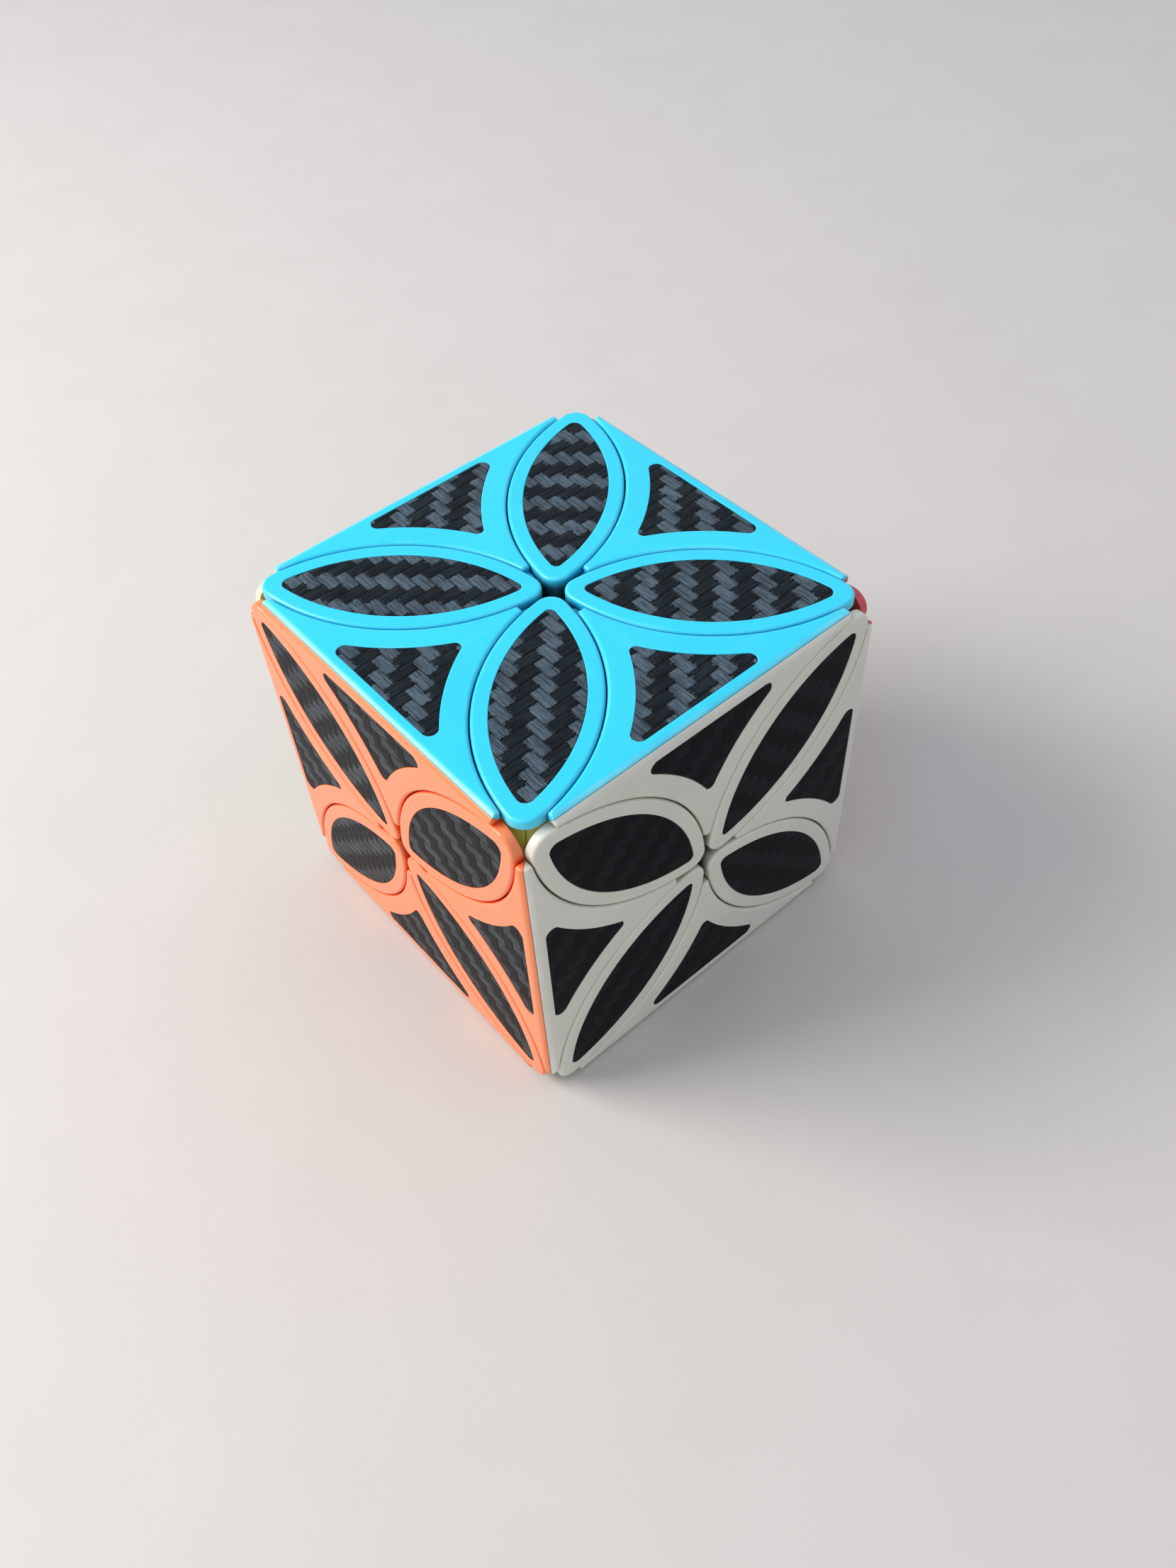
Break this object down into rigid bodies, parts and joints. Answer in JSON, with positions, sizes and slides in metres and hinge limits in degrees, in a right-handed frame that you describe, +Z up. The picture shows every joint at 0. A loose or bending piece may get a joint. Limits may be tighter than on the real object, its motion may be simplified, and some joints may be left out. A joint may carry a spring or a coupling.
{
  "type": "twisty puzzle cube",
  "caption": "Edge-turning puzzle cube: lens-shaped petals and curved-triangle edge tiles with inset dark panels, carried on sprung screws by a hidden core.",
  "frame": {"origin": "centre of the cube, where all the turning axes meet", "axes": "+Z up out of the blue (top) face, +X out of the ivory (right) face, -Y out of the orange (front) face"},
  "size_m": [0.057, 0.057, 0.057],
  "materials": {
    "blue_plastic": "satin moulded plastic, bright sky blue",
    "green_plastic": "satin moulded plastic, green; this face is not seen",
    "orange_plastic": "satin moulded plastic, bright orange",
    "red_plastic": "satin moulded plastic, crimson",
    "yellow_plastic": "satin moulded plastic, yellow",
    "ivory_plastic": "satin moulded plastic, warm white",
    "corner_plastic": "moulded plastic, yellow-green",
    "core_plastic": "dark moulded plastic",
    "steel": "zinc-plated screw and spring steel"
  },
  "bodies": {
    "core": {"core": "core_plastic", "screw_top_right": "steel", "screw_bottom_right": "steel", "screw_bottom_left": "steel", "screw_top_left": "steel", "screw_back_right": "steel", "screw_front_right": "steel", "screw_back_left": "steel", "screw_front_left": "steel", "screw_bottom_back": "steel", "screw_top_front": "steel", "screw_top_back": "steel", "screw_bottom_front": "steel"},
    "edge_top_right": {"edge_top_right": "blue_plastic"},
    "edge_bottom_right": {"edge_bottom_right": "green_plastic"},
    "edge_bottom_left": {"edge_bottom_left": "green_plastic"},
    "edge_top_left": {"edge_top_left": "blue_plastic"},
    "edge_back_right": {"edge_back_right": "red_plastic"},
    "edge_front_right": {"edge_front_right": "orange_plastic"},
    "edge_back_left": {"edge_back_left": "red_plastic"},
    "edge_front_left": {"edge_front_left": "orange_plastic"},
    "edge_bottom_back": {"edge_bottom_back": "green_plastic"},
    "edge_top_front": {"edge_top_front": "blue_plastic"},
    "edge_top_back": {"edge_top_back": "blue_plastic"},
    "edge_bottom_front": {"edge_bottom_front": "green_plastic"},
    "petal_top_back_right": {"petal_top_back_right": "blue_plastic"},
    "petal_bottom_front_right": {"petal_bottom_front_right": "green_plastic"},
    "petal_bottom_back_left": {"petal_bottom_back_left": "green_plastic"},
    "petal_top_front_left": {"petal_top_front_left": "blue_plastic"},
    "petal_back_bottom_right": {"petal_back_bottom_right": "red_plastic"},
    "petal_front_top_right": {"petal_front_top_right": "orange_plastic"},
    "petal_back_top_left": {"petal_back_top_left": "red_plastic"},
    "petal_front_bottom_left": {"petal_front_bottom_left": "orange_plastic"},
    "petal_bottom_back_right": {"petal_bottom_back_right": "green_plastic"},
    "petal_top_front_right": {"petal_top_front_right": "blue_plastic"},
    "petal_top_back_left": {"petal_top_back_left": "blue_plastic"},
    "petal_bottom_front_left": {"petal_bottom_front_left": "green_plastic"},
    "petal_back_top_right": {"petal_back_top_right": "red_plastic"},
    "petal_front_bottom_right": {"petal_front_bottom_right": "orange_plastic"},
    "petal_back_bottom_left": {"petal_back_bottom_left": "red_plastic"},
    "petal_front_top_left": {"petal_front_top_left": "orange_plastic"},
    "petal_right_top_back": {"petal_right_top_back": "ivory_plastic"},
    "petal_right_bottom_front": {"petal_right_bottom_front": "ivory_plastic"},
    "petal_left_bottom_back": {"petal_left_bottom_back": "yellow_plastic"},
    "petal_left_top_front": {"petal_left_top_front": "yellow_plastic"},
    "petal_right_bottom_back": {"petal_right_bottom_back": "ivory_plastic"},
    "petal_right_top_front": {"petal_right_top_front": "ivory_plastic"},
    "petal_left_top_back": {"petal_left_top_back": "yellow_plastic"},
    "petal_left_bottom_front": {"petal_left_bottom_front": "yellow_plastic"},
    "corner_top_back_right": {"corner_top_back_right": "corner_plastic"},
    "corner_bottom_front_right": {"corner_bottom_front_right": "corner_plastic"},
    "corner_bottom_back_left": {"corner_bottom_back_left": "corner_plastic"},
    "corner_top_front_left": {"corner_top_front_left": "corner_plastic"},
    "corner_bottom_back_right": {"corner_bottom_back_right": "corner_plastic"},
    "corner_top_front_right": {"corner_top_front_right": "corner_plastic"},
    "corner_top_back_left": {"corner_top_back_left": "corner_plastic"},
    "corner_bottom_front_left": {"corner_bottom_front_left": "corner_plastic"}
  },
  "joints": [
    {"name": "turn_top_right", "type": "hinge", "parent": "core", "child": "edge_top_right", "pos_m": [0, 0, 0], "axis": [0.7071, 0, 0.7071], "range_deg": [-180, 180]},
    {"name": "turn_bottom_right", "type": "hinge", "parent": "core", "child": "edge_bottom_right", "pos_m": [0, 0, 0], "axis": [0.7071, 0, -0.7071], "range_deg": [-180, 180]},
    {"name": "turn_bottom_left", "type": "hinge", "parent": "core", "child": "edge_bottom_left", "pos_m": [0, 0, 0], "axis": [-0.7071, 0, -0.7071], "range_deg": [-180, 180]},
    {"name": "turn_top_left", "type": "hinge", "parent": "core", "child": "edge_top_left", "pos_m": [0, 0, 0], "axis": [-0.7071, 0, 0.7071], "range_deg": [-180, 180]},
    {"name": "turn_back_right", "type": "hinge", "parent": "core", "child": "edge_back_right", "pos_m": [0, 0, 0], "axis": [0.7071, 0.7071, 0], "range_deg": [-180, 180]},
    {"name": "turn_front_right", "type": "hinge", "parent": "core", "child": "edge_front_right", "pos_m": [0, 0, 0], "axis": [0.7071, -0.7071, 0], "range_deg": [-180, 180]},
    {"name": "turn_back_left", "type": "hinge", "parent": "core", "child": "edge_back_left", "pos_m": [0, 0, 0], "axis": [-0.7071, 0.7071, 0], "range_deg": [-180, 180]},
    {"name": "turn_front_left", "type": "hinge", "parent": "core", "child": "edge_front_left", "pos_m": [0, 0, 0], "axis": [-0.7071, -0.7071, 0], "range_deg": [-180, 180]},
    {"name": "turn_bottom_back", "type": "hinge", "parent": "core", "child": "edge_bottom_back", "pos_m": [0, 0, 0], "axis": [0, 0.7071, -0.7071], "range_deg": [-180, 180]},
    {"name": "turn_top_front", "type": "hinge", "parent": "core", "child": "edge_top_front", "pos_m": [0, 0, 0], "axis": [0, -0.7071, 0.7071], "range_deg": [-180, 180]},
    {"name": "turn_top_back", "type": "hinge", "parent": "core", "child": "edge_top_back", "pos_m": [0, 0, 0], "axis": [0, 0.7071, 0.7071], "range_deg": [-180, 180]},
    {"name": "turn_bottom_front", "type": "hinge", "parent": "core", "child": "edge_bottom_front", "pos_m": [0, 0, 0], "axis": [0, -0.7071, -0.7071], "range_deg": [-180, 180]},
    {"name": "carry_petal_top_back_right", "type": "hinge", "parent": "edge_top_right", "child": "petal_top_back_right", "pos_m": [0, 0, 0], "axis": [0, 0.7071, 0.7071], "range_deg": [-180, 180]},
    {"name": "carry_petal_bottom_front_right", "type": "hinge", "parent": "edge_bottom_right", "child": "petal_bottom_front_right", "pos_m": [0, 0, 0], "axis": [0, -0.7071, -0.7071], "range_deg": [-180, 180]},
    {"name": "carry_petal_bottom_back_left", "type": "hinge", "parent": "edge_bottom_left", "child": "petal_bottom_back_left", "pos_m": [0, 0, 0], "axis": [0, 0.7071, -0.7071], "range_deg": [-180, 180]},
    {"name": "carry_petal_top_front_left", "type": "hinge", "parent": "edge_top_left", "child": "petal_top_front_left", "pos_m": [0, 0, 0], "axis": [0, -0.7071, 0.7071], "range_deg": [-180, 180]},
    {"name": "carry_petal_back_bottom_right", "type": "hinge", "parent": "edge_back_right", "child": "petal_back_bottom_right", "pos_m": [0, 0, 0], "axis": [0, 0.7071, -0.7071], "range_deg": [-180, 180]},
    {"name": "carry_petal_front_top_right", "type": "hinge", "parent": "edge_front_right", "child": "petal_front_top_right", "pos_m": [0, 0, 0], "axis": [0, -0.7071, 0.7071], "range_deg": [-180, 180]},
    {"name": "carry_petal_back_top_left", "type": "hinge", "parent": "edge_back_left", "child": "petal_back_top_left", "pos_m": [0, 0, 0], "axis": [0, 0.7071, 0.7071], "range_deg": [-180, 180]},
    {"name": "carry_petal_front_bottom_left", "type": "hinge", "parent": "edge_front_left", "child": "petal_front_bottom_left", "pos_m": [0, 0, 0], "axis": [0, -0.7071, -0.7071], "range_deg": [-180, 180]},
    {"name": "carry_petal_bottom_back_right", "type": "hinge", "parent": "edge_bottom_back", "child": "petal_bottom_back_right", "pos_m": [0, 0, 0], "axis": [0.7071, 0, -0.7071], "range_deg": [-180, 180]},
    {"name": "carry_petal_top_front_right", "type": "hinge", "parent": "edge_top_front", "child": "petal_top_front_right", "pos_m": [0, 0, 0], "axis": [0.7071, 0, 0.7071], "range_deg": [-180, 180]},
    {"name": "carry_petal_top_back_left", "type": "hinge", "parent": "edge_top_back", "child": "petal_top_back_left", "pos_m": [0, 0, 0], "axis": [-0.7071, 0, 0.7071], "range_deg": [-180, 180]},
    {"name": "carry_petal_bottom_front_left", "type": "hinge", "parent": "edge_bottom_front", "child": "petal_bottom_front_left", "pos_m": [0, 0, 0], "axis": [-0.7071, 0, -0.7071], "range_deg": [-180, 180]},
    {"name": "carry_petal_back_top_right", "type": "hinge", "parent": "edge_top_back", "child": "petal_back_top_right", "pos_m": [0, 0, 0], "axis": [0.7071, 0.7071, 0], "range_deg": [-180, 180]},
    {"name": "carry_petal_front_bottom_right", "type": "hinge", "parent": "edge_bottom_front", "child": "petal_front_bottom_right", "pos_m": [0, 0, 0], "axis": [0.7071, -0.7071, 0], "range_deg": [-180, 180]},
    {"name": "carry_petal_back_bottom_left", "type": "hinge", "parent": "edge_bottom_back", "child": "petal_back_bottom_left", "pos_m": [0, 0, 0], "axis": [-0.7071, 0.7071, 0], "range_deg": [-180, 180]},
    {"name": "carry_petal_front_top_left", "type": "hinge", "parent": "edge_top_front", "child": "petal_front_top_left", "pos_m": [0, 0, 0], "axis": [-0.7071, -0.7071, 0], "range_deg": [-180, 180]},
    {"name": "carry_petal_right_top_back", "type": "hinge", "parent": "edge_back_right", "child": "petal_right_top_back", "pos_m": [0, 0, 0], "axis": [0.7071, 0, 0.7071], "range_deg": [-180, 180]},
    {"name": "carry_petal_right_bottom_front", "type": "hinge", "parent": "edge_front_right", "child": "petal_right_bottom_front", "pos_m": [0, 0, 0], "axis": [0.7071, 0, -0.7071], "range_deg": [-180, 180]},
    {"name": "carry_petal_left_bottom_back", "type": "hinge", "parent": "edge_back_left", "child": "petal_left_bottom_back", "pos_m": [0, 0, 0], "axis": [-0.7071, 0, -0.7071], "range_deg": [-180, 180]},
    {"name": "carry_petal_left_top_front", "type": "hinge", "parent": "edge_front_left", "child": "petal_left_top_front", "pos_m": [0, 0, 0], "axis": [-0.7071, 0, 0.7071], "range_deg": [-180, 180]},
    {"name": "carry_petal_right_bottom_back", "type": "hinge", "parent": "edge_bottom_right", "child": "petal_right_bottom_back", "pos_m": [0, 0, 0], "axis": [0.7071, 0.7071, 0], "range_deg": [-180, 180]},
    {"name": "carry_petal_right_top_front", "type": "hinge", "parent": "edge_top_right", "child": "petal_right_top_front", "pos_m": [0, 0, 0], "axis": [0.7071, -0.7071, 0], "range_deg": [-180, 180]},
    {"name": "carry_petal_left_top_back", "type": "hinge", "parent": "edge_top_left", "child": "petal_left_top_back", "pos_m": [0, 0, 0], "axis": [-0.7071, 0.7071, 0], "range_deg": [-180, 180]},
    {"name": "carry_petal_left_bottom_front", "type": "hinge", "parent": "edge_bottom_left", "child": "petal_left_bottom_front", "pos_m": [0, 0, 0], "axis": [-0.7071, -0.7071, 0], "range_deg": [-180, 180]},
    {"name": "carry_corner_top_back_right", "type": "hinge", "parent": "petal_top_back_right", "child": "corner_top_back_right", "pos_m": [0, 0, 0], "axis": [0.7071, 0.7071, 0], "range_deg": [-180, 180]},
    {"name": "carry_corner_bottom_front_right", "type": "hinge", "parent": "petal_bottom_front_right", "child": "corner_bottom_front_right", "pos_m": [0, 0, 0], "axis": [0.7071, -0.7071, 0], "range_deg": [-180, 180]},
    {"name": "carry_corner_bottom_back_left", "type": "hinge", "parent": "petal_bottom_back_left", "child": "corner_bottom_back_left", "pos_m": [0, 0, 0], "axis": [-0.7071, 0.7071, 0], "range_deg": [-180, 180]},
    {"name": "carry_corner_top_front_left", "type": "hinge", "parent": "petal_top_front_left", "child": "corner_top_front_left", "pos_m": [0, 0, 0], "axis": [-0.7071, -0.7071, 0], "range_deg": [-180, 180]},
    {"name": "carry_corner_bottom_back_right", "type": "hinge", "parent": "petal_bottom_back_right", "child": "corner_bottom_back_right", "pos_m": [0, 0, 0], "axis": [0.7071, 0.7071, 0], "range_deg": [-180, 180]},
    {"name": "carry_corner_top_front_right", "type": "hinge", "parent": "petal_top_front_right", "child": "corner_top_front_right", "pos_m": [0, 0, 0], "axis": [0.7071, -0.7071, 0], "range_deg": [-180, 180]},
    {"name": "carry_corner_top_back_left", "type": "hinge", "parent": "petal_top_back_left", "child": "corner_top_back_left", "pos_m": [0, 0, 0], "axis": [-0.7071, 0.7071, 0], "range_deg": [-180, 180]},
    {"name": "carry_corner_bottom_front_left", "type": "hinge", "parent": "petal_bottom_front_left", "child": "corner_bottom_front_left", "pos_m": [0, 0, 0], "axis": [-0.7071, -0.7071, 0], "range_deg": [-180, 180]}
  ],
  "couplings": [
    {"joint": "carry_petal_top_back_right", "follows": "turn_top_back", "ratio": 1},
    {"joint": "carry_petal_bottom_front_right", "follows": "turn_bottom_front", "ratio": 1},
    {"joint": "carry_petal_bottom_back_left", "follows": "turn_bottom_back", "ratio": 1},
    {"joint": "carry_petal_top_front_left", "follows": "turn_top_front", "ratio": 1},
    {"joint": "carry_petal_back_bottom_right", "follows": "turn_bottom_back", "ratio": 1},
    {"joint": "carry_petal_front_top_right", "follows": "turn_top_front", "ratio": 1},
    {"joint": "carry_petal_back_top_left", "follows": "turn_top_back", "ratio": 1},
    {"joint": "carry_petal_front_bottom_left", "follows": "turn_bottom_front", "ratio": 1},
    {"joint": "carry_petal_bottom_back_right", "follows": "turn_bottom_right", "ratio": 1},
    {"joint": "carry_petal_top_front_right", "follows": "turn_top_right", "ratio": 1},
    {"joint": "carry_petal_top_back_left", "follows": "turn_top_left", "ratio": 1},
    {"joint": "carry_petal_bottom_front_left", "follows": "turn_bottom_left", "ratio": 1},
    {"joint": "carry_petal_back_top_right", "follows": "turn_back_right", "ratio": 1},
    {"joint": "carry_petal_front_bottom_right", "follows": "turn_front_right", "ratio": 1},
    {"joint": "carry_petal_back_bottom_left", "follows": "turn_back_left", "ratio": 1},
    {"joint": "carry_petal_front_top_left", "follows": "turn_front_left", "ratio": 1},
    {"joint": "carry_petal_right_top_back", "follows": "turn_top_right", "ratio": 1},
    {"joint": "carry_petal_right_bottom_front", "follows": "turn_bottom_right", "ratio": 1},
    {"joint": "carry_petal_left_bottom_back", "follows": "turn_bottom_left", "ratio": 1},
    {"joint": "carry_petal_left_top_front", "follows": "turn_top_left", "ratio": 1},
    {"joint": "carry_petal_right_bottom_back", "follows": "turn_back_right", "ratio": 1},
    {"joint": "carry_petal_right_top_front", "follows": "turn_front_right", "ratio": 1},
    {"joint": "carry_petal_left_top_back", "follows": "turn_back_left", "ratio": 1},
    {"joint": "carry_petal_left_bottom_front", "follows": "turn_front_left", "ratio": 1},
    {"joint": "carry_corner_top_back_right", "follows": "turn_back_right", "ratio": 1},
    {"joint": "carry_corner_bottom_front_right", "follows": "turn_front_right", "ratio": 1},
    {"joint": "carry_corner_bottom_back_left", "follows": "turn_back_left", "ratio": 1},
    {"joint": "carry_corner_top_front_left", "follows": "turn_front_left", "ratio": 1},
    {"joint": "carry_corner_bottom_back_right", "follows": "turn_back_right", "ratio": 1},
    {"joint": "carry_corner_top_front_right", "follows": "turn_front_right", "ratio": 1},
    {"joint": "carry_corner_top_back_left", "follows": "turn_back_left", "ratio": 1},
    {"joint": "carry_corner_bottom_front_left", "follows": "turn_front_left", "ratio": 1}
  ]
}
